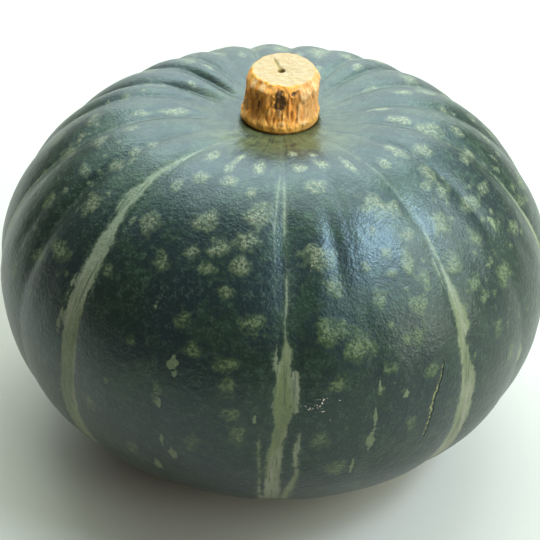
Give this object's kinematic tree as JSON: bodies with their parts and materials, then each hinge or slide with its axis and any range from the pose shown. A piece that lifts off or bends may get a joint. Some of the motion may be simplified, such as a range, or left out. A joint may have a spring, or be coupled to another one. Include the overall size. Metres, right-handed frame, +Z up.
{
  "type": "buttercup squash",
  "caption": "Squat ribbed dark green squash with pale stripes and a short cork stalk stub, standing on its blossom end.",
  "frame": {"origin": "middle of the footprint, on the plane that the fruit stands on", "axes": "+Z up along the fruit's axis to the stalk, -Y towards the front seen in the picture, +X to its right"},
  "size_m": [0.1796, 0.1798, 0.1311],
  "materials": {
    "rind": "waxy dark green skin with fine orange-peel grain, pale grey-green stripes in the grooves and clusters of small pale specks",
    "cork": "dry matt cork, cracked lengthwise, brown and orange on the side and cream on the cut face"
  },
  "bodies": {
    "root": {"fruit": "rind", "stem": "cork"}
  },
  "joints": []
}
